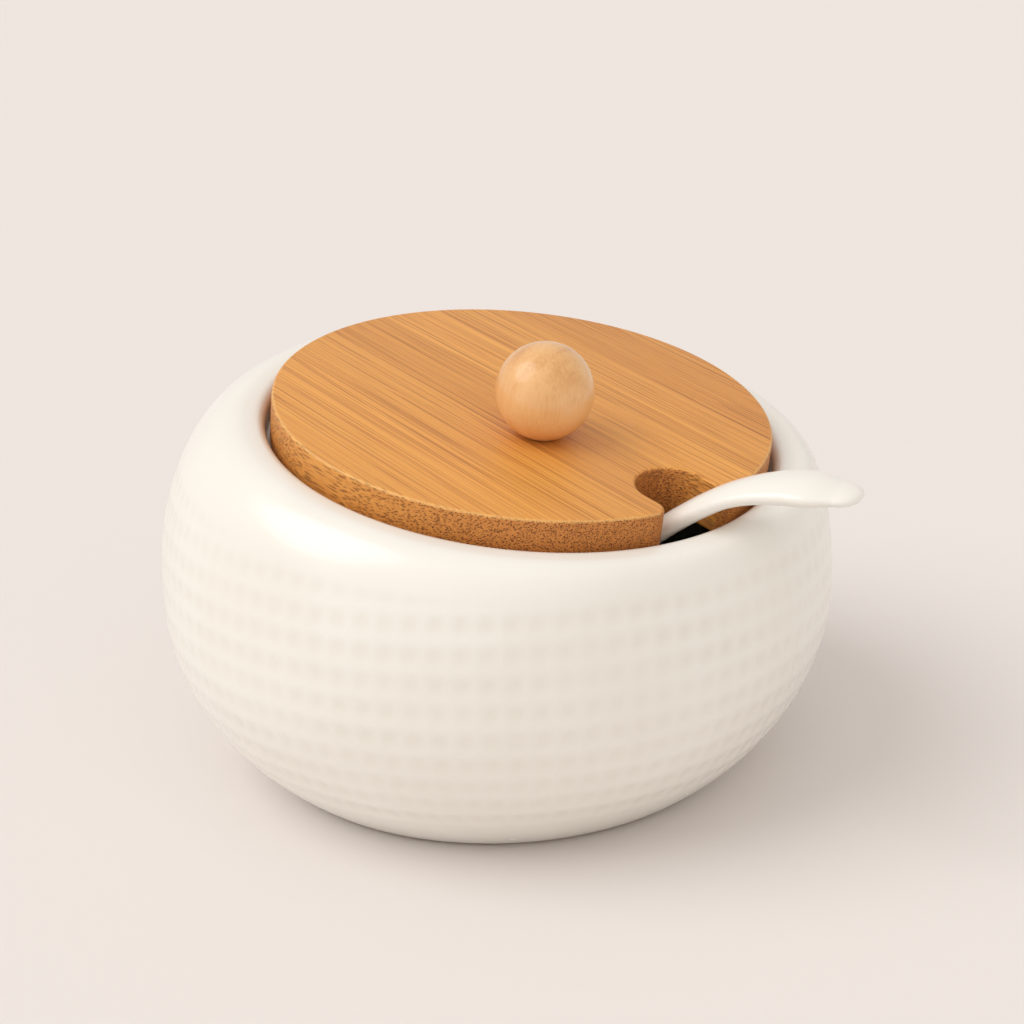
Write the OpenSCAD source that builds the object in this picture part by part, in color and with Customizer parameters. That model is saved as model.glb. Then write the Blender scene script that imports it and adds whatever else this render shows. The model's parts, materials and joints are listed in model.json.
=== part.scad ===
// Sugar bowl: a squashed ceramic globe with a slanted mouth, a bamboo lid with a ball knob,
// and a ceramic spoon whose handle leaves through a notch in the lid.
// Millimetres. The origin is the middle of the foot, +Z is up, and the mouth slopes down
// towards +X, where the notch is.

/* [Bowl] */
// Height of the middle of the lip above the table
lip_h = 56.2; // [47:0.2:67.4]
// Height from the widest circle up to the middle of the lip
shoulder_h = 26.3; // [22:0.1:31]
// How far the bowl stands out beyond the lid, all round
shoulder_w = 15.2; // [12.8:0.1:18.2]
// Diameter of the foot
foot_d = 74.4; // [62:0.2:86]
// Slope of the mouth, in degrees
mouth_tilt = 10.6; // [5:0.2:12]
// How far the mouth's middle lies off the bowl's middle
mouth_shift = 7; // [4:0.1:8]
// Thickness of the wall
wall = 4.5; // [3.6:0.1:5.4]
// Thickness of the floor inside the foot ring
floor_t = 4; // [3:0.1:5]
// Width of the foot ring
foot_ring_w = 4; // [3:0.1:6]
// Depth of the recess inside the foot ring
foot_recess = 1.5; // [0.8:0.1:2]
// Radius of the lip's inner edge
lip_in_r = 1.7; // [1:0.1:2]
// Radius of the lip's outer edge
lip_out_r = 5; // [3.4:0.1:6]

/* [Lid] */
// Diameter of the lid
lid_d = 77.6; // [64.6:0.2:93.2]
// Thickness of the lid
lid_t = 8; // [6.6:0.1:9.6]
// How far the lid stands out of the lip
lid_proud = 3.8; // [2.6:0.1:4.6]
// Gap between the lid's edge and the bowl
lid_gap = 0.8; // [0.4:0.05:1.4]
// Width of the ledge that the lid rests on
ledge_w = 3.2; // [2.4:0.1:4]
// Distance from the lid's edge to the closed end of the notch
notch_depth = 11.6; // [9.8:0.1:14]
// Room beside the spoon's stem in the notch
notch_play = 2.7; // [2.3:0.05:4]
// Radius of the notch's outer corners
notch_corner_r = 2.4; // [1:0.1:3.5]

/* [Knob] */
// Diameter of the ball
knob_d = 14.8; // [12.2:0.1:18]
// Diameter of the flat that the ball stands on
knob_flat_d = 5.2; // [4.4:0.1:7]
// Knob's place on the lid, towards the notch
knob_x = 9.7; // [0:0.1:11]
// Knob's place on the lid, to the side
knob_y = -5.2; // [-8:0.1:8]
// Shank diameter of the screw that holds the knob
screw_d = 3.2; // [2.6:0.1:3.8]
// Head diameter of the screw
screw_head_d = 6.4; // [5.2:0.1:7.6]
// Length of the screw inside the ball
screw_bite = 5; // [3:0.1:7]

/* [Spoon] */
// Direction of the spoon's handle, seen from above, in degrees
spoon_turn = 25; // [21:1:27]
// Distance from the scoop's middle to the notch, seen from above
scoop_reach = 51.8; // [46:0.1:58]
// Width of the stem where it passes the notch
stem_w = 6; // [5:0.1:7.2]
// Thickness of the stem
stem_t = 3.2; // [2.6:0.1:3.9]
// Greatest width of the handle
handle_w = 11.6; // [9.6:0.1:14]
// Inner radius of the scoop's rim
scoop_r = 11; // [9:0.1:13.2]
// Inner depth of the scoop
scoop_depth = 6.5; // [5.2:0.1:7.8]
// Thickness of the scoop
scoop_t = 2; // [1.6:0.1:2.4]
// Lean of the scoop's rim, in degrees
scoop_lean = 16; // [10:1:20]

/* [Hidden] */
$fn = 96;
porcelain = "#f4f1ec";
bamboo = "#c98a4b";
maple = "#e0ab72";
steel = "#b9bcbf";

// Bowl: two ovals that meet at the widest circle.
bowl_r = lid_d / 2 + shoulder_w;
foot_r = foot_d / 2;
widest_h = lip_h - shoulder_h;
lower_b = widest_h / sqrt(1 - pow(foot_r / bowl_r, 2));
upper_b = 1.69 * shoulder_h;
lower_power = 2;
upper_power = 2.4;
cavity_power = 3.2;
floor_h = foot_recess + floor_t;
cavity_r = bowl_r - wall;
cavity_low_b = widest_h - floor_h;
cavity_top_b = upper_b - wall;
outline_steps = 14;
foot_edge = 0.8;

// Mouth: everything that is turned about the lid's own axis.
lid_r = lid_d / 2;
throat_r = lid_r + lid_gap;
ledge_r = throat_r - ledge_w;
ledge_z = -lid_t;
ledge_t = 3;
crest_z = -lid_proud;
lip_flat = 1.4;
above = 40;

// Lid and knob.
lid_top_r = 0.8;
lid_low_r = 1.2;
lid_play = 0.02;
notch_w = stem_w + 2 * notch_play;
notch_x = lid_r - notch_depth + notch_w / 2;
knob_r = knob_d / 2;
knob_z = sqrt(pow(knob_r, 2) - pow(knob_flat_d / 2, 2));
screw_sunk = 0.3;
screw_len = lid_t - screw_sunk + screw_bite;
shank_play = 0.2;
thread_play = 0.02;
head_h = (screw_head_d - screw_d) / 2;
head_rim = 0.4;
bore_spare = 1;

// Spoon: its centre line lies in one upright plane through the notch. The plane's own
// coordinates are run, away from the notch, and rise, above the lid's top at the crossing.
spoon_in = 1.3;
spoon_out = lid_r - spoon_in;
spoon_side = 1;
scoop_run = -scoop_reach;
scoop_in_r = (pow(scoop_r, 2) + pow(scoop_depth, 2)) / (2 * scoop_depth);
scoop_out_r = scoop_in_r + scoop_t;
scoop_drop = scoop_in_r - scoop_depth;
scoop_rim_r = sqrt(pow(scoop_out_r, 2) - pow(scoop_drop, 2));
scoop_clear = 1.6;
scoop_z = floor_h + scoop_clear + scoop_out_r;
cross_z = mouth_point([spoon_out, spoon_side, 0])[2];
neck_in = 1.2;
neck_low = 0.6;
neck_flare = 0.8;
stem_flare = 1;
neck = [
    scoop_run + scoop_drop * sin(scoop_lean) + (scoop_rim_r - neck_in) * cos(scoop_lean),
    scoop_z - cross_z - scoop_drop * cos(scoop_lean) + (scoop_rim_r - neck_in) * sin(scoop_lean) - neck_low
];
// Centre line after the neck, as [run, rise].
handle_line = [[-3.4, -3.6], [0, -1.4], [4, 0.7], [8.5, 2.1], [12.5, 2.7], [16.2, 2.8], [19.7, 2.6]];
spoon_line = concat([neck, (neck + handle_line[0]) / 2], handle_line);
// Width and thickness at the same points.
spoon_width = [
    stem_w + neck_flare, 0.95 * stem_w, stem_w, stem_w + stem_flare,
    0.72 * handle_w, 0.86 * handle_w, 0.97 * handle_w, handle_w, 0.78 * handle_w
];
spoon_thick = [2.6, stem_t, stem_t, stem_t, stem_t, 1.1 * stem_t, 1.2 * stem_t, 1.18 * stem_t, 0.8 * stem_t];
ring_steps = 5;
ring_sides = 24;
tip_steps = 5;
tip_len = 3.4;

function oval(a, b, p, z) = a * pow(max(0, 1 - pow(z / b, p)), 1 / p);

// A point given in the mouth's frame, in the bowl's frame. Its origin is the lid's top.
function mouth_point(p) = [
    mouth_shift + (p[2] - crest_z) * sin(mouth_tilt) + p[0] * cos(mouth_tilt),
    p[1],
    lip_h + (p[2] - crest_z) * cos(mouth_tilt) - p[0] * sin(mouth_tilt)
];

module mouth() {
    translate(mouth_point([0, 0, 0]))
        rotate([0, mouth_tilt, 0])
            children();
}

// Half outline of an egg-like solid: from its base, out to r, and up to the top.
module egg_outline(r, base_z, low_b, low_p, top_b, top_p) {
    low = [for (i = [0 : outline_steps])
        let (z = base_z + (widest_h - base_z) * (1 - cos(90 * i / outline_steps)))
        [oval(r, low_b, low_p, widest_h - z), z]];
    high = [for (i = [1 : outline_steps])
        let (z = widest_h + 0.98 * top_b * sin(90 * i / outline_steps))
        [oval(r, top_b, top_p, z - widest_h), z]];
    top_z = high[outline_steps - 1][1];
    polygon(concat([[0, base_z]], low, high, [[0, top_z]]));
}

// Everything below the rounded lip, in the mouth's frame.
module lip_outline() {
    crest_r = throat_r + lip_in_r + lip_flat;
    side = lip_out_r * sin(45);
    reach = 2 * bowl_r;
    polygon([
        [0, -reach], [reach, -reach],
        [reach, crest_z - lip_out_r + side + (crest_r + side - reach)],
        [crest_r + side, crest_z - lip_out_r + side],
        [crest_r, crest_z - lip_out_r], [crest_r, crest_z],
        [throat_r + lip_in_r, crest_z], [throat_r + lip_in_r, crest_z - lip_in_r],
        [throat_r, crest_z - lip_in_r], [0, crest_z - lip_in_r]
    ]);
    translate([throat_r + lip_in_r, crest_z - lip_in_r])
        circle(lip_in_r);
    translate([crest_r, crest_z - lip_out_r])
        intersection() {
            circle(lip_out_r);
            square(lip_out_r);
        }
}

// Widens at 45 degrees below the ledge, so the ledge is a flange and not a thick band.
module throat_outline() {
    low = -2 * lip_h;
    spread = ledge_z - ledge_t - low;
    polygon([
        [0, low], [ledge_r + spread, low], [ledge_r, ledge_z - ledge_t], [ledge_r, above], [0, above]
    ]);
}

module bowl() {
    color(porcelain)
        difference() {
            intersection() {
                rotate_extrude()
                    egg_outline(bowl_r, 0, lower_b, lower_power, upper_b, upper_power);
                mouth()
                    rotate_extrude()
                        lip_outline();
            }
            intersection() {
                rotate_extrude()
                    egg_outline(cavity_r, floor_h, cavity_low_b, cavity_power, cavity_top_b, upper_power);
                mouth()
                    rotate_extrude()
                        throat_outline();
            }
            mouth() {
                translate([0, 0, ledge_z - ledge_t - 4])
                    cylinder(r = ledge_r, h = above);
                translate([0, 0, ledge_z])
                    cylinder(r = throat_r, h = above);
            }
            translate([0, 0, -1])
                cylinder(r = foot_r - foot_ring_w, h = foot_recess + 1);
            foot_edge_waste();
        }
}

// The foot's outer edge is eased where it meets the table.
module foot_edge_waste() {
    difference() {
        translate([0, 0, -foot_edge])
            cylinder(r = foot_r + 4 * foot_edge, h = 2 * foot_edge);
        translate([0, 0, -foot_edge])
            cylinder(r1 = foot_r - 3.6 * foot_edge, r2 = foot_r + 1.6 * foot_edge, h = 2 * foot_edge);
    }
}

module lid_outline() {
    square([lid_r - lid_low_r, lid_t]);
    translate([0, lid_low_r])
        square([lid_r, lid_t - lid_low_r - lid_top_r]);
    square([lid_r - lid_low_r, lid_low_r]);
    translate([0, lid_low_r])
        square([lid_r - lid_top_r, lid_t - lid_low_r]);
    translate([lid_r - lid_low_r, lid_low_r])
        circle(lid_low_r, $fn = 32);
    translate([lid_r - lid_top_r, lid_t - lid_top_r])
        circle(lid_top_r, $fn = 32);
}

// The waste between a rounded notch corner and the lid's edge.
module notch_corner() {
    corner_y = notch_w / 2 + notch_corner_r;
    corner_x = sqrt(pow(lid_r - notch_corner_r, 2) - pow(corner_y, 2));
    reach = 1.1 * lid_r / (lid_r - notch_corner_r);
    difference() {
        polygon([
            [corner_x, 0], [1.1 * lid_r, 0],
            [reach * corner_x, reach * corner_y], [corner_x, corner_y]
        ]);
        translate([corner_x, corner_y])
            circle(notch_corner_r, $fn = 48);
    }
}

module notch() {
    translate([notch_x, 0])
        circle(d = notch_w);
    translate([notch_x, -notch_w / 2])
        square([lid_r, notch_w]);
    notch_corner();
    mirror([0, 1])
        notch_corner();
}

module lid() {
    color(bamboo)
        mouth()
            difference() {
                translate([0, 0, lid_play - lid_t])
                    rotate_extrude()
                        lid_outline();
                translate([0, 0, -lid_t - 1])
                    linear_extrude(lid_t + 2)
                        notch();
                translate([knob_x, knob_y, -lid_t - 1]) {
                    cylinder(d = screw_d + 2 * shank_play, h = lid_t + 2);
                    cylinder(d = screw_head_d + 2 * shank_play, h = 1 + screw_sunk + head_rim);
                    translate([0, 0, 1 + screw_sunk + head_rim])
                        cylinder(d1 = screw_head_d + 2 * shank_play, d2 = screw_d + 2 * shank_play, h = head_h);
                }
            }
}

module knob() {
    color(maple)
        mouth()
            translate([knob_x, knob_y, lid_play])
                difference() {
                    translate([0, 0, knob_z])
                        sphere(d = knob_d);
                    translate([-knob_d, -knob_d, -knob_d])
                        cube([2 * knob_d, 2 * knob_d, knob_d]);
                    translate([0, 0, -1])
                        cylinder(d = screw_d + 2 * thread_play, h = 1 + screw_bite + bore_spare);
                }
}

module knob_screw() {
    slot_len = 0.56 * screw_head_d;
    slot_w = 0.8;
    slot_depth = 1.3;
    tip_h = 1.6;
    color(steel)
        mouth()
            translate([knob_x, knob_y, lid_play - lid_t + screw_sunk])
                difference() {
                    union() {
                        cylinder(d = screw_head_d, h = head_rim);
                        translate([0, 0, head_rim])
                            cylinder(d1 = screw_head_d, d2 = screw_d, h = head_h);
                        cylinder(d = screw_d, h = screw_len - tip_h);
                        translate([0, 0, screw_len - tip_h])
                            cylinder(d1 = screw_d, d2 = 0.4, h = tip_h);
                    }
                    for (a = [0, 90])
                        rotate([0, 0, a])
                            translate([-slot_len / 2, -slot_w / 2, -1])
                                cube([slot_len, slot_w, 1 + slot_depth]);
                }
}

// Smooth curve through a list of points or numbers, at place u from its start.
function curve_at(list, u) =
    let (
        last = len(list) - 1,
        i = min(floor(u), last - 1),
        t = u - i,
        a = list[max(i - 1, 0)],
        b = list[i],
        c = list[i + 1],
        d = list[min(i + 2, last)]
    )
    b + t * (c - a) / 2 + t * t * (2 * a - 5 * b + 4 * c - d) / 2 + t * t * t * (3 * b - a - 3 * c + d) / 2;

// One ring of the spoon's stem: an oval across the centre line.
function stem_ring(p, slope, w, t) = [
    for (k = [0 : ring_sides - 1])
        let (
            a = 360 * k / ring_sides,
            up = t / 2 * sin(a),
            across = w / 2 * cos(a)
        )
        [p[0] - up * sin(slope), across, p[1] + up * cos(slope)]
];

module stem() {
    last = len(spoon_line) - 1;
    places = [for (i = [0 : last * ring_steps]) i / ring_steps];
    step = 0.05;
    body_rings = [for (u = places)
        let (
            p = curve_at(spoon_line, u),
            along = curve_at(spoon_line, min(u + step, last)) - curve_at(spoon_line, max(u - step, 0)),
            slope = atan2(along[1], along[0])
        )
        stem_ring(p, slope, curve_at(spoon_width, u), curve_at(spoon_thick, u))];
    end = spoon_line[last];
    fall = end - curve_at(spoon_line, last - step);
    end_slope = atan2(fall[1], fall[0]);
    tip_rings = [for (i = [1 : tip_steps])
        let (
            a = 84 * i / tip_steps,
            go = tip_len * sin(a)
        )
        stem_ring(end + go * [cos(end_slope), sin(end_slope)], end_slope,
                  spoon_width[last] * cos(a), spoon_thick[last] * cos(a))];
    rings = concat(body_rings, tip_rings);
    count = len(rings);
    points = [for (r = rings) for (p = r) p];
    sides = [for (i = [0 : count - 2]) for (k = [0 : ring_sides - 1])
        let (
            a = i * ring_sides + k,
            b = i * ring_sides + (k + 1) % ring_sides
        )
        [a, a + ring_sides, b + ring_sides, b]];
    start_cap = [[for (k = [0 : ring_sides - 1]) k]];
    end_cap = [[for (k = [ring_sides - 1 : -1 : 0]) (count - 1) * ring_sides + k]];
    polyhedron(points, concat(sides, start_cap, end_cap), convexity = 6);
}

module scoop_outline() {
    rim_mid = (scoop_r + scoop_rim_r) / 2;
    rim_half = (scoop_rim_r - scoop_r) / 2;
    difference() {
        intersection() {
            circle(scoop_out_r);
            translate([0, -scoop_out_r])
                square([scoop_out_r, scoop_out_r - scoop_drop]);
        }
        circle(scoop_in_r);
    }
    translate([rim_mid, -scoop_drop])
        circle(rim_half, $fn = 32);
}

module spoon() {
    color(porcelain)
        translate(mouth_point([spoon_out, spoon_side, 0]))
            rotate([0, 0, spoon_turn])
                difference() {
                    union() {
                        stem();
                        translate([scoop_run, 0, scoop_z - cross_z])
                            rotate([0, -scoop_lean, 0])
                                rotate_extrude()
                                    scoop_outline();
                    }
                    translate([scoop_run, 0, scoop_z - cross_z])
                        sphere(scoop_in_r);
                }
}

bowl();
lid();
knob();
knob_screw();
spoon();
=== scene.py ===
import json
import math
import bpy
import numpy as np
from mathutils import Matrix, Vector

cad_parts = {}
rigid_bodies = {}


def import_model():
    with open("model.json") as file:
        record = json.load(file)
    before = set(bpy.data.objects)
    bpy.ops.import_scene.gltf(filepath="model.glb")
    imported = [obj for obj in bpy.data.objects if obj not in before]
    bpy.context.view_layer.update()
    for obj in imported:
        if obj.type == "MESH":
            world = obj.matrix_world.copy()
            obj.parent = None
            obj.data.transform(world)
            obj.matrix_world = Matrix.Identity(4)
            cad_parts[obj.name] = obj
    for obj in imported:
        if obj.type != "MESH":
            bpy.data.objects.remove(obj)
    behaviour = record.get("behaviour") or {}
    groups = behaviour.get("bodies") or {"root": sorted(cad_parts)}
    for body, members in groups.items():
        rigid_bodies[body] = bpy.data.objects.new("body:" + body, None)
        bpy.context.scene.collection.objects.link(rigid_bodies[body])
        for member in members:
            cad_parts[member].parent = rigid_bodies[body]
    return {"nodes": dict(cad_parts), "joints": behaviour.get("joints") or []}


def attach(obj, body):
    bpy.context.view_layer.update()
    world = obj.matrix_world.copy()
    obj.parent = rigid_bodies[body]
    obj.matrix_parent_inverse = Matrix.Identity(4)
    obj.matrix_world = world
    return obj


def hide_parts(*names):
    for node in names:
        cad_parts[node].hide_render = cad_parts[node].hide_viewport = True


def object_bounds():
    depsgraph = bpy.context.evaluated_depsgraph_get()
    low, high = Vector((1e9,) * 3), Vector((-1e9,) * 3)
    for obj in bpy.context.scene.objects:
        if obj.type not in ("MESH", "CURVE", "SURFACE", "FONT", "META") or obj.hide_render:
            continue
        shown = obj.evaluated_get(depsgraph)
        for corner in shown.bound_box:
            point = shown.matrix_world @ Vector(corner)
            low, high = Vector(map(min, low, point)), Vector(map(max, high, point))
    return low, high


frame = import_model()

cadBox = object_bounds()
mm = 0.001
print("frame loaded")

# The mouth's own frame: x runs down the slope to the notch, y to the side and z out of the lid.
# Its origin is the middle of the lid's top. The CAD lid says where it is.
liftAxis = Vector([j for j in frame["joints"] if j["name"] == "lid_lift"][0]["axis"]).normalized()
slopeAxis = Vector((liftAxis.z, 0, -liftAxis.x))
tilt = math.atan2(liftAxis.x, liftAxis.z)
lidPoints = [v.co for v in frame["nodes"]["lid"].data.vertices]
lidTop = max(p.dot(liftAxis) for p in lidPoints) / mm
lidThick = lidTop - min(p.dot(liftAxis) for p in lidPoints) / mm
lidR = -min(p.y for p in lidPoints) / mm
lidMiddle = min(p.dot(slopeAxis) for p in lidPoints) / mm + lidR
mouthCentre = liftAxis * lidTop + slopeAxis * lidMiddle      # millimetres
mouthTurn = Matrix.Rotation(tilt, 3, "Y")


def mouthPoint(x, y, z):
    # a point of the mouth's frame in the bowl's frame, in millimetres
    return mouthCentre + mouthTurn @ Vector((x, y, z))


def nothingSelected():
    for o in bpy.context.view_layer.objects:
        o.select_set(False)


def makeActive(obj):
    nothingSelected()
    obj.select_set(True)
    bpy.context.view_layer.objects.active = obj


def applied(obj, kind, **settings):
    # adds a modifier, sets it and applies it
    makeActive(obj)
    modifier = obj.modifiers.new(kind.lower(), kind)
    for name, value in settings.items():
        setattr(modifier, name, value)
    bpy.ops.object.modifier_apply(modifier=modifier.name)


def mergedOutwards(obj, distance=0.00001):
    makeActive(obj)
    bpy.ops.object.mode_set(mode="EDIT")
    bpy.ops.mesh.select_all(action="SELECT")
    bpy.ops.mesh.remove_doubles(threshold=distance)
    bpy.ops.mesh.dissolve_degenerate(threshold=0.000001)
    bpy.ops.mesh.select_all(action="SELECT")
    bpy.ops.mesh.normals_make_consistent(inside=False)
    bpy.ops.object.mode_set(mode="OBJECT")


def wrapped(name, rings, fillEnds=False, values=None):
    # A grid wrapped round: rings is an array [ring, column, xyz] in millimetres. The seam is merged,
    # and a ring whose points are all in one place becomes a pole.
    rows, columns = rings.shape[:2]
    nothingSelected()
    bpy.ops.mesh.primitive_grid_add(x_subdivisions=columns, y_subdivisions=rows - 1, size=1)
    obj = bpy.context.object
    obj.name = obj.data.name = name
    closed = np.concatenate([rings, rings[:, :1]], axis=1).reshape(-1, 3) * mm
    obj.data.vertices.foreach_set("co", closed.astype(np.float32).ravel())
    for valueName, value in (values or {}).items():
        kept = obj.data.attributes.new(valueName, "FLOAT", "POINT")
        allRound = np.concatenate([value, value[:, :1]], axis=1)
        kept.data.foreach_set("value", allRound.astype(np.float32).ravel())
    obj.data.update()
    if fillEnds:
        makeActive(obj)
        bpy.ops.object.mode_set(mode="EDIT")
        bpy.ops.mesh.select_all(action="SELECT")
        bpy.ops.mesh.remove_doubles(threshold=0.000002)
        bpy.ops.mesh.select_all(action="DESELECT")
        bpy.ops.mesh.select_non_manifold(extend=False)
        bpy.ops.mesh.edge_face_add()
        bpy.ops.object.mode_set(mode="OBJECT")
    mergedOutwards(obj, 0.000002)
    return obj


def finished(obj, material, body, node, angle=None):
    # angle is where a smooth surface ends in an edge, in degrees
    obj.data.materials.clear()
    obj.data.materials.append(material)
    makeActive(obj)
    if angle:
        bpy.ops.object.shade_smooth_by_angle(angle=math.radians(angle))
    else:
        bpy.ops.object.shade_smooth()
    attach(obj, body)
    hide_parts(node)
    print("  ", obj.name, len(obj.data.polygons), "faces")


class Value:
    # wraps a number socket, so that an expression on it adds Math nodes
    def __init__(self, shader, socket):
        self.shader, self.socket = shader, socket

    def maths(self, operation, first, second=None):
        values = {0: first} if second is None else {0: first, 1: second}
        node = self.shader.add("ShaderNodeMath", dict(operation=operation), values)
        return Value(self.shader, node.outputs[0])

    def __add__(self, other):
        return self.maths("ADD", self, other)

    def __radd__(self, other):
        return self.maths("ADD", other, self)

    def __sub__(self, other):
        return self.maths("SUBTRACT", self, other)

    def __rsub__(self, other):
        return self.maths("SUBTRACT", other, self)

    def __mul__(self, other):
        return self.maths("MULTIPLY", self, other)

    def __rmul__(self, other):
        return self.maths("MULTIPLY", other, self)

    def __truediv__(self, other):
        return self.maths("DIVIDE", self, other)

    def __pow__(self, other):
        return self.maths("POWER", self, other)

    def __abs__(self):
        return self.maths("ABSOLUTE", self)

    def floor(self):
        return self.maths("FLOOR", self)


class Shader:
    # one material, with the nodes that its surface needs
    def __init__(self, name):
        self.material = bpy.data.materials.new(name)
        self.material.use_nodes = True
        self.tree = self.material.node_tree
        self.tree.nodes.clear()
        self.coordinates = self.add("ShaderNodeTexCoord")
        self.body = self.add("ShaderNodeBsdfPrincipled")
        self.add("ShaderNodeOutputMaterial", {}, {"Surface": self.body.outputs[0]})

    def put(self, socket, value):
        # a link from an expression or a node, or a plain number, vector or colour
        if isinstance(value, Value):
            value = value.socket
        if isinstance(value, bpy.types.NodeSocket):
            self.tree.links.new(value, socket)
        elif socket.type == "RGBA":
            socket.default_value = (*value, 1)
        else:
            socket.default_value = value

    def add(self, kind, settings=None, values=None):
        node = self.tree.nodes.new(kind)
        for name, setting in (settings or {}).items():
            if name == "stops":
                self.setStops(node.color_ramp, setting)
            else:
                setattr(node, name, setting)
        for name, value in (values or {}).items():
            self.put(node.inputs[name], value)
        return node

    def setStops(self, ramp, stops):
        while len(ramp.elements) < len(stops):
            ramp.elements.new(0.5)
        for element, (place, colour) in zip(ramp.elements, stops):
            element.position = place
            element.color = (*colour, 1)

    def placed(self, origin=(0, 0, 0), turn=0.0):
        # the piece's own place in millimetres, from an origin and turned about Y
        return self.add("ShaderNodeMapping", dict(vector_type="TEXTURE"), {
            "Vector": self.coordinates.outputs["Object"], "Location": [v * mm for v in origin],
            "Rotation": (0, turn, 0), "Scale": (mm, mm, mm)}).outputs[0]

    def stretched(self, vector, scale, shift=(0, 0, 0)):
        values = {"Vector": vector, "Scale": scale, "Location": shift}
        return self.add("ShaderNodeMapping", {}, values).outputs[0]

    def parts(self, vector):
        node = self.add("ShaderNodeSeparateXYZ", {}, {0: vector})
        return [Value(self, node.outputs[i]) for i in range(3)]

    def vector(self, x, y, z):
        return self.add("ShaderNodeCombineXYZ", {}, {0: x, 1: y, 2: z}).outputs[0]

    def facing(self, way):
        # how squarely a face looks one way or the opposite way, 0 to 1
        node = self.add("ShaderNodeVectorMath", dict(operation="DOT_PRODUCT"), {
            0: self.coordinates.outputs["Normal"], 1: tuple(way)})
        return abs(Value(self, node.outputs["Value"]))

    def noise(self, vector, scale, detail, roughness):
        node = self.add("ShaderNodeTexNoise", {}, {
            "Vector": vector, "Scale": scale, "Detail": detail, "Roughness": roughness})
        return Value(self, node.outputs[0])

    def cells(self, vector):
        node = self.add("ShaderNodeTexVoronoi", {}, {"Vector": vector, "Scale": 1.0})
        return Value(self, node.outputs["Distance"])

    def chance(self, value):
        node = self.add("ShaderNodeTexWhiteNoise", dict(noise_dimensions="1D"), {"W": value})
        return Value(self, node.outputs[0])

    def ramp(self, value, *stops):
        return self.add("ShaderNodeValToRGB", dict(stops=stops), {0: value}).outputs[0]

    def step(self, value, low, high):
        node = self.add("ShaderNodeMapRange", dict(interpolation_type="SMOOTHSTEP"), {
            0: value, 1: low, 2: high, 3: 0.0, 4: 1.0})
        return Value(self, node.outputs[0])

    def mix(self, share, first, second, blend="MIX"):
        settings = dict(data_type="RGBA", blend_type=blend)
        return self.add("ShaderNodeMix", settings, {0: share, 6: first, 7: second}).outputs[2]

    def bump(self, height, distance):
        return self.add("ShaderNodeBump", {}, {"Height": height, "Distance": distance}).outputs[0]

    def surface(self, values):
        for name, value in values.items():
            self.put(self.body.inputs[name], value)
        return self.material


def fromScreen(*levels):
    # red, green and blue as seen on screen, 0 to 255, as the shader wants them
    shares = [level / 255 for level in levels]
    return tuple(((v + 0.055) / 1.055) ** 2.4 if v > 10 / 255 else v / 12.92 for v in shares)


camera = dict(
    place=(214.6, -182.85, 140.48),      # millimetres from the middle of the foot
    azimuth=49.57, elevation=21.40, roll=-2.124,
    lens=64.945, sensor=36, shift=(0.01452, 0.05647),
    nearest=0.01, furthest=50,           # metres
)
light = dict(
    # where each soft sun stands: to the camera's right, towards the camera and up
    keyFrom=(-0.78, 0.2, 0.9), keyStrength=1.25, keyAngle=46, keyColour=(1.0, 1.0, 0.985),
    fillFrom=(0.3, 1.0, 0.6), fillStrength=0.34, fillAngle=90, fillColour=(1.0, 0.97, 0.94),
    roomColour=(1.0, 0.955, 0.91), roomStrength=0.72,
    floorColour=fromScreen(232, 226, 223), floorSize=14,
)


def addCamera():
    az, el, roll = (math.radians(camera[name]) for name in ("azimuth", "elevation", "roll"))
    back = Vector((math.sin(az) * math.cos(el), -math.cos(az) * math.cos(el), math.sin(el)))
    right = Vector((math.cos(az), math.sin(az), 0))
    up = back.cross(right)
    across = math.cos(roll) * right + math.sin(roll) * up
    upwards = -math.sin(roll) * right + math.cos(roll) * up
    data = bpy.data.cameras.new("camera")
    data.lens, data.sensor_width = camera["lens"], camera["sensor"]
    data.shift_x, data.shift_y = camera["shift"]
    data.clip_start, data.clip_end = camera["nearest"], camera["furthest"]
    obj = bpy.data.objects.new("camera", data)
    bpy.context.scene.collection.objects.link(obj)
    turn = Matrix((across, upwards, back)).transposed().to_4x4()
    obj.matrix_world = Matrix.Translation(Vector(camera["place"]) * mm) @ turn
    bpy.context.scene.camera = obj
    return right, back


def addSoftSun(name, right, level):
    # the light's own values in the dictionary start with its name
    data = bpy.data.lights.new(name + "Light", "SUN")
    data.energy, data.color = light[name + "Strength"], light[name + "Colour"]
    data.angle = math.radians(light[name + "Angle"])
    obj = bpy.data.objects.new(name + "Light", data)
    bpy.context.scene.collection.objects.link(obj)
    sideways, nearer, up = light[name + "From"]
    towards = sideways * right + nearer * level + Vector((0, 0, up))
    obj.matrix_world = towards.to_track_quat("Z", "Y").to_matrix().to_4x4()


def addRoomLight():
    world = bpy.data.worlds.new("softRoom")
    world.use_nodes = True
    background = world.node_tree.nodes["Background"]
    background.inputs["Color"].default_value = (*light["roomColour"], 1)
    background.inputs["Strength"].default_value = light["roomStrength"]
    bpy.context.scene.world = world
    bpy.context.scene.view_settings.view_transform = "Standard"


def addFloor():
    nothingSelected()
    bpy.ops.mesh.primitive_plane_add(size=light["floorSize"], location=(0, 0, cadBox[0][2]))
    floor = bpy.context.object
    floor.name = "floor"
    shader = Shader("paleFloor")
    floor.data.materials.append(shader.surface({
        "Base Color": light["floorColour"], "Roughness": 0.9, "Specular IOR Level": 0.1}))


right, back = addCamera()
level = Vector((back.x, back.y, 0)).normalized()
addSoftSun("key", right, level)
addSoftSun("fill", right, level)
addRoomLight()
addFloor()
print("camera, lights and floor")


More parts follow.
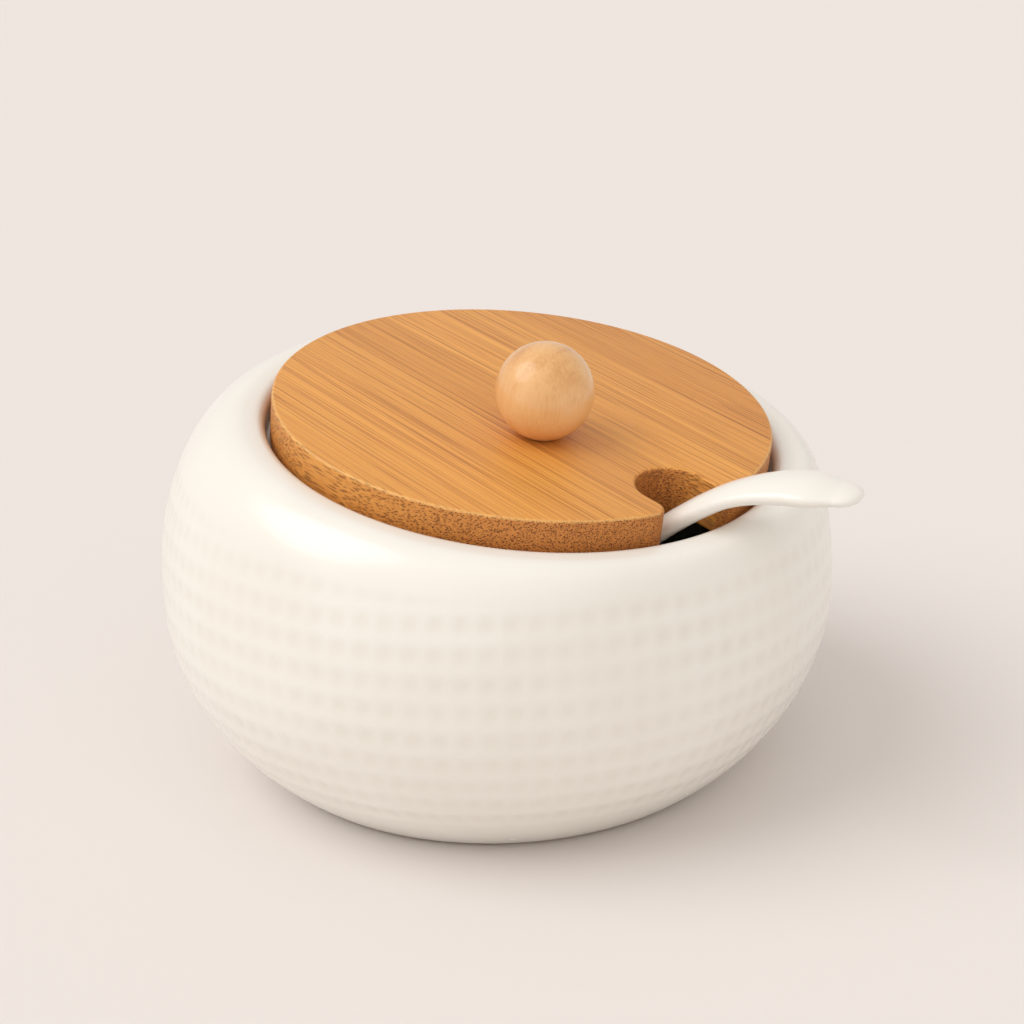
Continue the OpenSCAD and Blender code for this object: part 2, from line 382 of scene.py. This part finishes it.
def curved(t, start, startGoing, end, endGoing, reach):
    # a point of a smooth curve at share t, from the places and directions of its two ends
    return ((2 * t ** 3 - 3 * t ** 2 + 1) * start + (t ** 3 - 2 * t ** 2 + t) * reach * startGoing
            + (3 * t ** 2 - 2 * t ** 3) * end + (t ** 3 - t ** 2) * reach * endGoing)


def unit(v):
    return v / np.maximum(np.linalg.norm(v, axis=-1, keepdims=True), 1e-9)


def smoothStep(x):
    x = np.clip(x, 0, 1)
    return x * x * (3 - 2 * x)


bowl = dict(               # millimetres
    widestR=54.0, widestH=29.9, footR=37.2,
    topB=44.4, topPower=2.4,                     # the oval above the widest height
    wall=4.5, floorH=5.5, cavityPower=3.2,
    throatR=39.6, throatSoft=0.4,
    ledgeR=36.4, ledgeZ=-8.0, ledgeThick=3.0, ledgeSoft=0.5,
    crestZ=-3.8, crestFlat=1.4, innerRoll=1.7, outerRoll=5.0,
    footRing=4.0, footRecess=1.5, footEdge=1.2,
    lipBlend=2.6,                                # how far below the lip the wall starts to turn into it
    dimplesRound=94, dimplePitch=4.32,
    dimpleStart=29.5, rowsBelow=5.5,             # the height of one row, and the rows below it
    dimpleDepth=0.175, dimpleSquareness=0.75, dimpleUneven=0.35,
    rowGroove=0.3,                               # how deep a row stays between two dimples
    lowFade=2.4, highFade=2.2,                   # how far the dimples take to fade out
    columnsPerDimple=6, wallRings=80, lipRings=14, insideRings=14,
)


def oval(a, b, power, z):
    # the radius at a height above the middle of an oval, which a power above 2 squares
    return a * np.maximum(0, 1 - (np.abs(z) / b) ** power) ** (1 / power)


def outerR(z):
    above = z - bowl["widestH"]
    lowB = bowl["widestH"] / math.sqrt(1 - (bowl["footR"] / bowl["widestR"]) ** 2)
    return np.where(above < 0, oval(bowl["widestR"], lowB, 2, -above),
                    oval(bowl["widestR"], bowl["topB"], bowl["topPower"], np.maximum(above, 0)))


def innerR(z):
    above = z - bowl["widestH"]
    r, low = bowl["widestR"] - bowl["wall"], bowl["widestH"] - bowl["floorH"]
    return np.where(above < 0, oval(r, low, bowl["cavityPower"], np.maximum(-above, 0)),
                    oval(r, bowl["topB"] - bowl["wall"], bowl["topPower"], np.maximum(above, 0)))


class Profile:
    # an upright half outline with its arc length, from one height to another
    def __init__(self, radiusAt, low, high):
        self.z = low + (high - low) * (1 - np.cos(np.linspace(0, np.pi, 6001))) / 2
        self.r = radiusAt(self.z)
        self.s = np.concatenate([[0], np.cumsum(np.hypot(np.diff(self.z), np.diff(self.r)))])

    def atLength(self, s):
        return np.interp(s, self.s, self.r), np.interp(s, self.s, self.z)

    def lengthAt(self, z):
        return np.interp(z, self.z, self.s)


def mouthRing(r, h, phi):
    x, y = r * np.cos(phi), r * np.sin(phi)
    c, s = math.cos(tilt), math.sin(tilt)
    return np.stack([mouthCentre.x + x * c + h * s, y, mouthCentre.z - x * s + h * c], axis=-1)


def meeting(lineAt, reach, radiusAt, azimuth):
    # where a line that is turned about the mouth's axis runs into an upright wall, for each azimuth
    phi = np.linspace(-math.pi, math.pi, 2881)
    low, high = np.zeros_like(phi), np.full_like(phi, reach)
    for _ in range(48):
        middle = (low + high) / 2
        p = mouthRing(*lineAt(middle), phi)
        inside = radiusAt(p[:, 2]) > np.hypot(p[:, 0], p[:, 1])
        low, high = np.where(inside, middle, low), np.where(inside, high, middle)
    p = mouthRing(*lineAt(low), phi)
    found = np.unwrap(np.arctan2(p[:, 1], p[:, 0]))
    asked = (azimuth + math.pi) % (2 * math.pi) - math.pi
    return np.interp(asked, found, phi), np.interp(asked, found, p[:, 2])


def joined(start, startGoing, end, endGoing, count):
    # points of a smooth curve between two ends, without the ends themselves
    reach = np.linalg.norm(end - start, axis=-1, keepdims=True)
    return [curved(i / count, start, startGoing, end, endGoing, reach) for i in range(1, count)]


def buildBowl():
    b = bowl
    columns = b["dimplesRound"] * b["columnsPerDimple"]
    azimuth = np.arange(columns) * 2 * math.pi / columns
    circle = np.stack([np.cos(azimuth), np.sin(azimuth)], axis=-1)

    def upright(r, z):
        r, z = np.broadcast_to(r, columns), np.broadcast_to(z, columns)
        return np.stack([r * circle[:, 0], r * circle[:, 1], z], axis=-1)

    crestR = b["throatR"] + b["innerRoll"] + b["crestFlat"]
    rollEnd = math.radians(45)

    def lipLine(s):      # over the outer roll, then straight down and out
        turned = np.minimum(s / b["outerRoll"], rollEnd)
        straight = np.maximum(s - b["outerRoll"] * rollEnd, 0) * math.sqrt(0.5)
        return (crestR + b["outerRoll"] * np.sin(turned) + straight,
                b["crestZ"] - b["outerRoll"] * (1 - np.cos(turned)) - straight)

    def underLine(s):    # from the ledge's lower edge down and out
        return b["ledgeR"] + s * math.sqrt(0.5), b["ledgeZ"] - b["ledgeThick"] - s * math.sqrt(0.5)

    phi, lipZ = meeting(lipLine, 40, outerR, azimuth)
    _, underZ = meeting(underLine, 40, innerR, azimuth)
    outer = Profile(outerR, 1.0, b["widestH"] + 0.97 * b["topB"])
    inner = Profile(innerR, b["floorH"], b["widestH"] + 0.9 * (b["topB"] - b["wall"]))
    rings, dimples = [], []

    def keep(ring, dimple=None):
        rings.append(ring)
        dimples.append(np.zeros(columns) if dimple is None else dimple)

    # under the foot, from the middle out
    recessR, recessH = b["footR"] - b["footRing"], b["footRecess"]
    footEdgeR = b["footR"] - b["footEdge"]
    underFoot = [(r, recessH) for r in (0, 3, 9, 18, 27, recessR - 1)]
    underFoot += [(recessR - 0.35, recessH - 0.05), (recessR, recessH - 0.45), (recessR, 0.35)]
    underFoot += [(recessR + 0.12, 0.1), (recessR + 0.4, 0), (footEdgeR - 1, 0), (footEdgeR, 0)]
    for r, z in underFoot:
        keep(upright(r, z))
    # round the foot's edge
    wallFoot = upright(*outer.atLength(0))
    up = unit(upright(*outer.atLength(0.3)) - wallFoot)
    for ring in joined(upright(footEdgeR, 0.0), upright(1.0, 0.0), wallFoot, up, 6):
        keep(ring)
    # up the wall, with the rows of dimples
    top = outer.lengthAt(lipZ) - b["lipBlend"]
    rowStart = outer.lengthAt(b["dimpleStart"])
    firstRow = rowStart - b["rowsBelow"] * b["dimplePitch"]
    chance = np.random.default_rng(7)
    waves = [(chance.integers(2, 15), chance.uniform(0.05, 0.6), chance.uniform(0, 6.28)) for _ in range(10)]

    def uneven(s):
        # each dimple is pressed a little deeper or shallower than the next
        drift = sum(np.sin(turns * azimuth + s * climb + shift) for turns, climb, shift in waves)
        return 1 + b["dimpleUneven"] * 0.6 * (drift / len(waves) ** 0.5)

    across = np.abs(np.cos(azimuth * b["dimplesRound"] / 2)) ** (2 * b["dimpleSquareness"])
    for i in range(b["wallRings"] + 1):
        s = top * i / b["wallRings"]
        r, z = outer.atLength(s)
        r2, z2 = outer.atLength(s + 0.05)
        slope = np.hypot(r2 - r, z2 - z)
        outR, outZ = (z2 - z) / slope, -(r2 - r) / slope
        along = np.abs(np.cos(math.pi * (s - rowStart) / b["dimplePitch"])) ** (2 * b["dimpleSquareness"])
        fade = smoothStep((s - firstRow + 1.0) / b["lowFade"]) * smoothStep((top - s + 0.2) / b["highFade"])
        dimple = along * (b["rowGroove"] + (1 - b["rowGroove"]) * across) * fade * uneven(s)
        keep(upright(r - outR * b["dimpleDepth"] * dimple, z - outZ * b["dimpleDepth"] * dimple), dimple)
    # over the lip
    going = unit(upright(*outer.atLength(top)) - upright(*outer.atLength(top - 0.05)))
    first = math.radians(14)
    roll = mouthRing(*lipLine(first * b["outerRoll"]), phi)
    rollGoing = unit(mouthRing(*lipLine((first - 0.01) * b["outerRoll"]), phi) - roll)
    for ring in joined(upright(*outer.atLength(top)), going, roll, rollGoing, b["lipRings"]):
        keep(ring)
    keep(roll)
    keep(mouthRing(*lipLine(first / 2 * b["outerRoll"]), phi))
    innerCrest = b["throatR"] + b["innerRoll"]
    for r in (crestR, innerCrest + b["crestFlat"] / 2, innerCrest):
        keep(mouthRing(r, b["crestZ"], phi))
    for i in range(1, 9):
        a = math.radians(90) * i / 8
        keep(mouthRing(innerCrest - b["innerRoll"] * math.sin(a),
                       b["crestZ"] - b["innerRoll"] * (1 - math.cos(a)), phi))
    # down the throat, over the ledge and back under it
    throatR, soft = b["throatR"], b["throatSoft"]
    ledgeR, ledgeZ, ledgeSoft = b["ledgeR"], b["ledgeZ"], b["ledgeSoft"]
    under = ledgeZ - b["ledgeThick"]
    corner = [(throatR, ledgeZ + soft)]
    corner += [(throatR - soft * (1 - math.cos(a)), ledgeZ + soft * (1 - math.sin(a)))
               for a in (0.5, 1.0, 1.57)]
    corner += [(ledgeR + 1.6, ledgeZ), (ledgeR + ledgeSoft, ledgeZ)]
    corner += [(ledgeR + ledgeSoft * (1 - math.sin(a)), ledgeZ - ledgeSoft * (1 - math.cos(a)))
               for a in (0.4, 0.8, 1.2, 1.57)]
    corner += [(ledgeR, under + 0.9), (ledgeR, under + 0.45)]
    corner += [(ledgeR + 0.08, under + 0.1), (ledgeR + 0.3, under - 0.3)]
    for r, h in corner:
        keep(mouthRing(r, h, phi))
    # the inside wall and the floor
    last = mouthRing(*corner[-1], phi)
    lastGoing = unit(mouthRing(ledgeR + 1.3, under - 1.3, phi) - last)
    low = inner.lengthAt(underZ) - 4.0
    wallTop = upright(*inner.atLength(low))
    wallGoing = unit(upright(*inner.atLength(low - 0.05)) - wallTop)
    for ring in joined(last, lastGoing, wallTop, wallGoing, 8):
        keep(ring)
    for i in range(b["insideRings"]):
        keep(upright(*inner.atLength(low * (1 - i / b["insideRings"]))))
    keep(upright(0, b["floorH"]))
    return wrapped("bowl_body", np.array(rings), values=dict(dimple=np.array(dimples)))


glaze = dict(
    # the second tone is a greyer glaze for patches where it pools, and also the painted shade in the dimples
    colour=fromScreen(243, 240, 233), pooledAndDimpleShade=fromScreen(232, 227, 216),
    roughness=0.26, coat=0.35, coatRoughness=0.14, sink=0.00006,
    biscuit=fromScreen(222, 208, 188), biscuitDark=fromScreen(200, 184, 162),
)


def glazeMaterial(name, withFoot):
    # white glaze, a little greyer in patches where it pools and painted darker in the dimples as painted
    # shade, with a bare ring under the foot
    s = Shader(name)
    place = s.placed()
    drift = s.noise(place, 0.035, 2.0, 0.5)
    fine = s.noise(place, 0.6, 3.0, 0.55)
    greyer = s.mix(0.35, glaze["colour"], glaze["pooledAndDimpleShade"])
    colour = s.mix(s.step(drift, 0.35, 0.7), glaze["colour"], greyer)
    roughness = glaze["roughness"] + 0.06 * (fine - 0.5)
    coat = glaze["coat"]
    height = 0.5 * s.noise(place, 0.22, 1.0, 0.4) + 0.08 * fine
    if withFoot:
        # painted shade: each dimple is painted darker towards the grey, by its depth
        dimpleShadeMask = Value(s, s.add("ShaderNodeAttribute", dict(attribute_name="dimple")).outputs["Fac"])
        colour = s.mix(dimpleShadeMask * 0.5, colour, glaze["pooledAndDimpleShade"])
        z = s.parts(place)[2]
        grain = s.noise(place, 3.0, 4.0, 0.7)
        bare = 1 - s.step(z + 0.25 * (s.noise(place, 0.5, 2.0, 0.5) - 0.5), 0.30, 0.5)
        colour = s.mix(bare, colour, s.mix(grain, glaze["biscuit"], glaze["biscuitDark"]))
        roughness = roughness + bare * 0.55
        coat = coat * (1 - bare)
        height = height + bare * grain * 1.5
    return s.surface({
        "Base Color": colour, "Roughness": roughness, "Coat Weight": coat,
        "Coat Roughness": glaze["coatRoughness"], "IOR": 1.5, "Normal": s.bump(height, glaze["sink"])})


finished(buildBowl(), glazeMaterial("whiteGlaze", True), "bowl", "bowl")
print("bowl done")


lid = dict(
    topRound=0.55, lowRound=1.0,
    notchW=11.4, notchX=32.9, notchCorner=2.4,
    knob=(9.7, -5.2), boreD=3.6, headD=6.8, headRim=0.7,
    strip=11.0, seam=-19.8,              # the strips' width, and where one of their seams runs
    pale=fromScreen(243, 180, 90), middle=fromScreen(226, 156, 74), dark=fromScreen(168, 98, 38),
    endPale=fromScreen(214, 140, 68), endDark=fromScreen(124, 60, 24),
    # the colour of the painted highlight along the top's rounded edge
    paintedEdgeHighlight=fromScreen(246, 200, 128),
    stripTones=((0.0, (0.90, 0.84, 0.78)), (0.5, (0.97, 0.95, 0.92)), (1.0, (1.04, 1.03, 1.01))),
)


def arc(cx, cy, r, start, end, count):
    return [(cx + r * math.cos(math.radians(start + (end - start) * i / count)),
             cy + r * math.sin(math.radians(start + (end - start) * i / count))) for i in range(count + 1)]


def lidOutline():
    half, corner = lid["notchW"] / 2, lid["notchCorner"]
    cy = half + corner
    cx = math.sqrt((lidR - corner) ** 2 - cy ** 2)
    opening = math.degrees(math.atan2(cy, cx))
    points = arc(0, 0, lidR, opening, 360 - opening, 200)[:-1]
    points += arc(cx, -cy, corner, -opening, 90, 12)
    points += arc(lid["notchX"], 0, half, -90, -270, 40)
    points += arc(cx, cy, corner, -90, opening, 12)[:-1]
    return points


def cutters(x, y, pieces):
    # round pieces stacked along the mouth's axis, as (radius below, radius above, from, to)
    parts = []
    for low, high, start, end in pieces:
        nothingSelected()
        bpy.ops.mesh.primitive_cone_add(
            vertices=64, radius1=low * mm, radius2=high * mm, depth=(end - start) * mm)
        part = bpy.context.object
        part.data.transform(Matrix.Translation(mouthPoint(x, y, (start + end) / 2) * mm) @ mouthTurn.to_4x4())
        parts.append(part)
    return parts


def cutBy(obj, parts):
    for part in parts:
        applied(obj, "BOOLEAN", object=part, operation="DIFFERENCE", solver="EXACT")
        bpy.data.objects.remove(part)


def buildLid():
    points = lidOutline()
    nothingSelected()
    bpy.ops.mesh.primitive_circle_add(vertices=len(points), radius=lidR * mm, fill_type="NGON")
    obj = bpy.context.object
    obj.name = obj.data.name = "lid_board"
    for vertex, (x, y) in zip(obj.data.vertices, points):
        vertex.co = (x * mm, y * mm, 0)
    bpy.ops.object.mode_set(mode="EDIT")
    bpy.ops.mesh.select_all(action="SELECT")
    bpy.ops.mesh.extrude_region_move(TRANSFORM_OT_translate={"value": (0, 0, -lidThick * mm)})
    bpy.ops.mesh.select_all(action="SELECT")
    bpy.ops.mesh.normals_make_consistent(inside=False)
    bpy.ops.mesh.select_all(action="DESELECT")
    bpy.ops.object.mode_set(mode="OBJECT")
    for height, size in ((0, lid["topRound"]), (-lidThick, lid["lowRound"])):
        for edge in obj.data.edges:
            ends = [obj.data.vertices[i].co for i in edge.vertices]
            edge.select = all(abs(p.z - height * mm) < 1e-7 for p in ends)
        bpy.ops.object.mode_set(mode="EDIT")
        bpy.ops.mesh.select_mode(type="EDGE")
        bpy.ops.mesh.bevel(offset=size * mm, segments=5, profile=0.5, clamp_overlap=True)
        bpy.ops.mesh.select_all(action="DESELECT")
        bpy.ops.mesh.select_mode(type="VERT")
        bpy.ops.object.mode_set(mode="OBJECT")
    obj.data.transform(Matrix.Translation(mouthCentre * mm) @ mouthTurn.to_4x4())
    # the screw's bore, the rim that its head lies in, and the cone under the head
    bore, head = lid["boreD"] / 2, lid["headD"] / 2
    rimTop = -lidThick + lid["headRim"]
    cutBy(obj, cutters(*lid["knob"], [
        (bore, bore, -lidThick - 1, 1),
        (head, head, -lidThick - 1, rimTop),
        (head, bore, rimTop - 0.001, rimTop + (head - bore))]))
    return obj


def bambooMaterial():
    # strips glued side by side, with fibres along the slope, and cut fibres on the rim
    s = Shader("laminatedBamboo")
    place = s.placed(mouthCentre, tilt)
    x, y, z = s.parts(place)
    wander = s.noise(s.stretched(place, (0.012, 0.05, 0.05)), 1.0, 2.0, 0.5)
    across = y + 1.2 * (wander - 0.5)
    strip = ((across - lid["seam"]) / lid["strip"]).floor()
    tone = s.chance(strip + 3.7)
    own = s.vector(x + 61.0 * tone, across + 17.0 * tone, z + 5.0 * tone)
    broad = s.noise(s.stretched(own, (0.006, 0.28, 0.28)), 1.0, 3.0, 0.55)
    streak = s.noise(s.stretched(own, (0.010, 1.9, 1.9)), 1.0, 6.0, 0.74)
    fibre = s.noise(s.stretched(own, (0.03, 7.0, 7.0)), 1.0, 3.0, 0.7)
    line = s.noise(s.stretched(own, (0.014, 4.6, 4.6), (9, 4, 7)), 1.0, 2.0, 0.5)
    thin = s.noise(s.stretched(own, (0.03, 2.4, 2.4), (2, 8, 5)), 1.0, 2.0, 0.5)
    pore = s.cells(s.stretched(own, (0.22, 3.9, 3.9)))
    ends = s.step(s.facing(slopeAxis), 0.12, 0.85)           # one where the fibres are cut across
    side = 1 - s.step(s.facing(liftAxis), 0.35, 0.9)         # one on the rim and in the notch
    grain = s.ramp(0.55 * streak + 0.45 * fibre,
                   (0.27, lid["dark"]), (0.46, lid["middle"]), (0.68, lid["pale"]))
    grain = s.mix(s.step(broad, 0.38, 0.66) * 0.4, grain, lid["middle"])
    grain = s.mix(s.step(line, 0.55, 0.62) * 0.6, grain, lid["dark"])
    grain = s.mix(s.step(thin, 0.60, 0.64) * 0.55, grain, lid["dark"])
    end = s.ramp(0.5 * streak + 0.5 * fibre, (0.24, lid["endDark"]), (0.56, lid["endPale"]))
    colour = s.mix(side * (0.25 + 0.75 * ends), grain, end)
    spots = 1 - s.step(pore, 0.18, 0.42)
    colour = s.mix(side * spots * (0.35 + 0.4 * ends), colour, lid["endDark"])
    # each strip is a little lighter or darker than the next, with a fine glue line between
    colour = s.mix(1.0, colour, s.ramp(tone, *lid["stripTones"]), "MULTIPLY")
    edge = (across - lid["seam"]) / lid["strip"]
    glue = 1 - s.step(abs(edge - (edge + 0.5).floor()), 0.002, 0.012)
    colour = s.mix(glue * 0.35, colour, lid["dark"])
    # the top's edge is painted paler, a painted highlight along its rounding
    radius = (x * x + y * y) ** 0.5
    edgeHighlightMask = s.step(radius, lidR - 0.5, lidR - 0.15) * s.step(z, -0.5, -0.15)
    colour = s.mix(edgeHighlightMask * (0.15 + 0.6 * fibre), colour, lid["paintedEdgeHighlight"])
    height = streak * 0.5 + fibre * 0.3 - line * 0.25 - side * spots * 1.2
    roughness = 0.42 + 0.12 * (streak - 0.5) + 0.14 * side - 0.06 * edgeHighlightMask
    return s.surface({
        "Base Color": colour, "Roughness": roughness, "Coat Weight": 0.05, "Coat Roughness": 0.35,
        "IOR": 1.42, "Normal": s.bump(height, 0.00016)})


finished(buildLid(), bambooMaterial(), "lid", "lid", angle=32)
print("lid done")


knob = dict(
    r=7.4, flatR=2.6, boreD=3.24, boreDepth=6.0,
    flatEdge=0.18, grainH=7,             # the bevel round the flat, and the height the grain starts from
    pale=fromScreen(238, 190, 132), middle=fromScreen(230, 176, 114), dark=fromScreen(212, 152, 92),
)


def buildKnob():
    standing = math.sqrt(knob["r"] ** 2 - knob["flatR"] ** 2)
    nothingSelected()
    bpy.ops.mesh.primitive_uv_sphere_add(segments=128, ring_count=96, radius=knob["r"] * mm)
    obj = bpy.context.object
    obj.name = obj.data.name = "knob_ball"
    bpy.ops.object.mode_set(mode="EDIT")
    bpy.ops.mesh.select_all(action="SELECT")
    bpy.ops.mesh.bisect(plane_co=(0, 0, -standing * mm), plane_no=(0, 0, 1), use_fill=True, clear_inner=True)
    bpy.ops.mesh.bevel(offset=knob["flatEdge"] * mm, segments=3, clamp_overlap=True)
    bpy.ops.mesh.select_all(action="DESELECT")
    bpy.ops.object.mode_set(mode="OBJECT")
    obj.data.transform(Matrix.Translation(mouthPoint(*lid["knob"], standing) * mm) @ mouthTurn.to_4x4())
    bore = knob["boreD"] / 2
    cutBy(obj, cutters(*lid["knob"], [(bore, bore, -1, knob["boreDepth"])]))
    mergedOutwards(obj)
    return obj


def mapleMaterial():
    # pale, close grain that stands upright in the ball, under a satin lacquer
    s = Shader("turnedMaple")
    place = s.placed(mouthPoint(*lid["knob"], knob["grainH"]), tilt)
    x, y, z = s.parts(place)
    bend = s.noise(s.stretched(place, (0.10, 0.05, 0.10)), 1.0, 2.0, 0.5)
    bent = s.vector(x + 5 * bend, y * 0.1, z * 0.35 + 4 * bend)
    ring = s.noise(s.stretched(bent, (0.32, 1, 0.32)), 1.0, 2.0, 0.5)
    fibre = s.noise(s.stretched(place, (2.6, 2.6, 0.10)), 1.0, 4.0, 0.65)
    fleck = s.noise(s.stretched(place, (3.2, 3.2, 0.35), (4, 9, 2)), 1.0, 2.0, 0.6)
    tone = 0.55 * ring + 0.3 * fibre + 0.15 * bend
    colour = s.ramp(tone, (0.34, knob["dark"]), (0.46, knob["middle"]), (0.60, knob["pale"]))
    colour = s.mix(s.step(fleck, 0.64, 0.74) * 0.3, colour, knob["dark"])
    return s.surface({
        "Base Color": colour, "Roughness": 0.34 + 0.08 * (fibre - 0.5), "Coat Weight": 0.55,
        "Coat Roughness": 0.12, "IOR": 1.46, "Normal": s.bump(0.3 * fibre, 0.00004)})


finished(buildKnob(), mapleMaterial(), "lid", "knob", angle=40)
print("knob done")


screw = dict(pale=fromScreen(206, 207, 207), dark=fromScreen(176, 178, 180), roughness=0.24)


def steelMaterial():
    # turned rings round the screw's axis, with a few scratches
    s = Shader("brushedSteel")
    place = s.placed(mouthPoint(*lid["knob"], -lidThick), tilt)
    x, y, z = s.parts(place)
    radius = (x * x + y * y) ** 0.5
    turned = s.noise(s.vector(radius * 9.0, z * 9.0, 0.0), 1.0, 3.0, 0.7)
    scratch = s.noise(s.stretched(place, (6.0, 0.6, 6.0)), 1.0, 3.0, 0.7)
    return s.surface({
        "Base Color": s.mix(turned, screw["dark"], screw["pale"]), "Metallic": 1.0,
        "Roughness": screw["roughness"] + 0.14 * turned + 0.06 * scratch,
        "Normal": s.bump(turned + 0.5 * scratch, 0.00003)})


screwNode = frame["nodes"]["knob_screw"]
screwNode.data.materials.clear()
screwNode.data.materials.append(steelMaterial())
print("screw done")


spoon = dict(
    turn=25, inward=1.3, side=1.0,       # the spoon's direction, and where it crosses the lid's edge
    reach=51.8, scoopR=11.0, scoopDepth=6.5, scoopThick=2.0, lean=16, clear=1.6,
    neckIn=1.2, neckLow=0.6, neckT=2.6, neckFlare=0.8, stemFlare=1.0,
    stemW=6.0, stemT=3.2, handleW=11.6, tip=3.4,
    # the stem's middle line from the crossing on, outwards and up
    line=[(-3.4, -3.6), (0, -1.4), (4, 0.7), (8.5, 2.1), (12.5, 2.7), (16.2, 2.8), (19.7, 2.6)],
    fineness=0.26, smoothing=10,         # the remesh that joins scoop and stem
)


def curveThrough(points, knots):
    # a smooth curve through points or numbers, at a length along their chords
    points = np.array(points, float).reshape(len(knots), -1)
    steps = np.diff(knots)[:, None]
    going = np.diff(points, axis=0) / steps
    between = (going[:-1] * steps[1:] + going[1:] * steps[:-1]) / (steps[:-1] + steps[1:])
    tangents = np.vstack([going[:1], between, going[-1:]])

    def at(length):
        i = min(max(int(np.searchsorted(knots, length)) - 1, 0), len(knots) - 2)
        reach = knots[i + 1] - knots[i]
        t = (length - knots[i]) / reach
        return curved(t, points[i], tangents[i], points[i + 1], tangents[i + 1], reach)

    return at


def buildSpoon():
    q = spoon
    ballR = (q["scoopR"] ** 2 + q["scoopDepth"] ** 2) / (2 * q["scoopDepth"])
    outR = ballR + q["scoopThick"]
    drop = ballR - q["scoopDepth"]
    rimR = math.sqrt(outR ** 2 - drop ** 2)
    crossing = mouthPoint(lidR - q["inward"], q["side"], 0)
    scoopZ = bowl["floorH"] + q["clear"] + outR - crossing.z
    lean = math.radians(q["lean"])
    neck = np.array([-q["reach"] + drop * math.sin(lean) + (rimR - q["neckIn"]) * math.cos(lean),
                     scoopZ - drop * math.cos(lean) + (rimR - q["neckIn"]) * math.sin(lean) - q["neckLow"]])
    line = [np.array(p, float) for p in q["line"]]
    line = [neck, (neck + line[0]) / 2] + line
    w, h, t = q["stemW"], q["handleW"], q["stemT"]
    # from the neck to the tip, the stem widens and thickens into the handle
    widths = [w + q["neckFlare"], 0.98 * w, w + 0.4, w + q["stemFlare"]]
    widths += [0.72 * h, 0.86 * h, 0.97 * h, h, 0.78 * h]
    thicks = [q["neckT"], t, t, t, t, 1.1 * t, 1.2 * t, 1.18 * t, 0.8 * t]
    knots = np.concatenate([[0], np.cumsum([np.linalg.norm(b - a) for a, b in zip(line, line[1:])])])
    placeAt, widthAt, thickAt = (curveThrough(values, knots) for values in (line, widths, thicks))
    whole, sides = knots[-1], 64

    def ring(p, slope, width, thick):
        a = np.arange(sides) * 2 * math.pi / sides
        up, across = thick / 2 * np.sin(a), width / 2 * np.cos(a)
        return np.stack([p[0] - up * math.sin(slope), across, p[1] + up * math.cos(slope)], axis=-1)

    rings = []
    for length in np.linspace(0, whole, 120):
        going = placeAt(min(length + 0.1, whole)) - placeAt(max(length - 0.1, 0))
        slope = math.atan2(going[1], going[0])
        rings.append(ring(placeAt(length), slope, widthAt(length)[0], thickAt(length)[0]))
    fall = line[-1] - placeAt(whole - 0.1)
    slope = math.atan2(fall[1], fall[0])
    for k in range(1, 13):      # the round tip
        a = math.radians(90 * k / 12)
        ahead = q["tip"] * math.sin(a) * np.array([math.cos(slope), math.sin(slope)])
        rings.append(ring(line[-1] + ahead, slope, widths[-1] * math.cos(a), thicks[-1] * math.cos(a)))
    stem = wrapped("spoon_stem", np.array(rings), fillEnds=True)

    # the scoop, turned about its own axis: outside from the bottom up, over the rim, inside down again
    outline = []
    rimMiddle, rimHalf = (q["scoopR"] + rimR) / 2, (rimR - q["scoopR"]) / 2
    for k in range(31):
        a = (math.asin(rimR / outR)) * k / 30
        outline.append((outR * math.sin(a), -outR * math.cos(a)))
    for k in range(1, 12):
        a = math.pi * k / 12
        outline.append((rimMiddle + rimHalf * math.cos(a), -drop + rimHalf * math.sin(a)))
    for k in range(31):
        a = math.asin(q["scoopR"] / ballR) * (1 - k / 30)
        outline.append((ballR * math.sin(a), -ballR * math.cos(a)))
    a = np.arange(96) * 2 * math.pi / 96
    scoopRings = [np.stack([r * np.cos(a), r * np.sin(a), np.full(96, z)], axis=-1) for r, z in outline]
    scoop = wrapped("spoon_scoop", np.array(scoopRings))
    middle = Vector((-q["reach"], 0, scoopZ)) * mm
    scoop.data.transform(Matrix.Translation(middle) @ Matrix.Rotation(-lean, 4, "Y"))
    nothingSelected()
    bpy.ops.mesh.primitive_uv_sphere_add(segments=96, ring_count=64, radius=ballR * mm)
    hollow = bpy.context.object
    hollow.data.transform(Matrix.Translation(middle))
    cutBy(stem, [hollow])      # so that the stem doesn't stand into the scoop
    makeActive(stem)
    scoop.select_set(True)
    bpy.ops.object.join()
    stem.name = stem.data.name = "spoon_body"
    applied(stem, "REMESH", mode="VOXEL", voxel_size=q["fineness"] * mm, use_smooth_shade=True)
    applied(stem, "SMOOTH", factor=0.5, iterations=q["smoothing"])
    stem.data.transform(Matrix.Translation(crossing * mm) @ Matrix.Rotation(math.radians(q["turn"]), 4, "Z"))
    return stem


finished(buildSpoon(), glazeMaterial("spoonGlaze", False), "spoon", "spoon")
print("spoon done")

nothingSelected()
